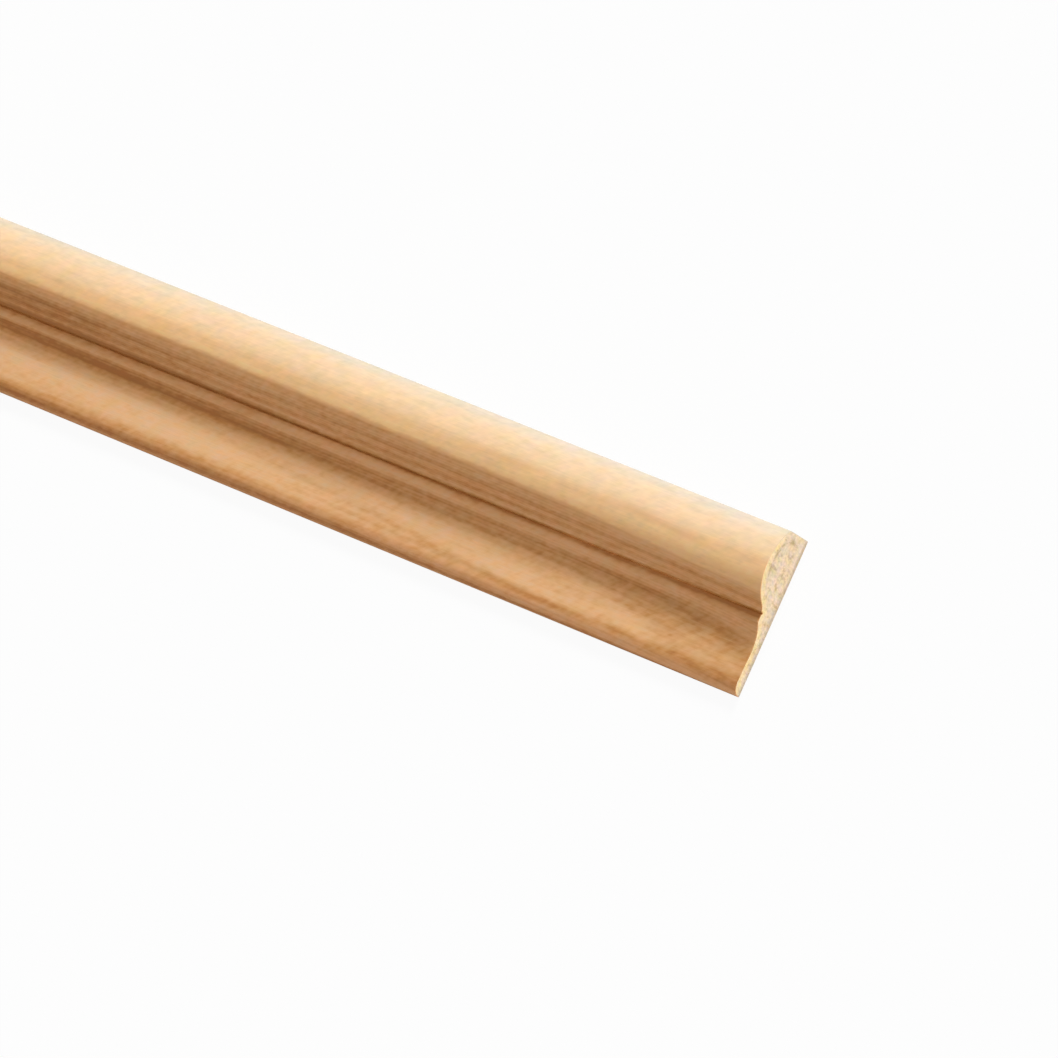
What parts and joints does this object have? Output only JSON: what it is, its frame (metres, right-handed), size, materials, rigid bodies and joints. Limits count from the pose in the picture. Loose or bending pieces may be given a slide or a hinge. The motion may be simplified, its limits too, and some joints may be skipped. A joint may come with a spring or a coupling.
{
  "type": "broken ogee moulding",
  "caption": "Long timber trim with a flat back: a rounded shoulder along the thick edge, a fine quirk and a narrow break at its foot, then a cove running out to a thin rounded lip.",
  "frame": {"origin": "middle of the flat back", "axes": "+X along the length, +Y across the face towards the thick edge, +Z out of the back towards the moulded face"},
  "size_m": [2.4, 0.034, 0.012],
  "materials": {
    "timber": "planed bare timber, pale cream to tan brown"
  },
  "bodies": {
    "root": {"ogee_moulding": "timber"}
  },
  "joints": []
}
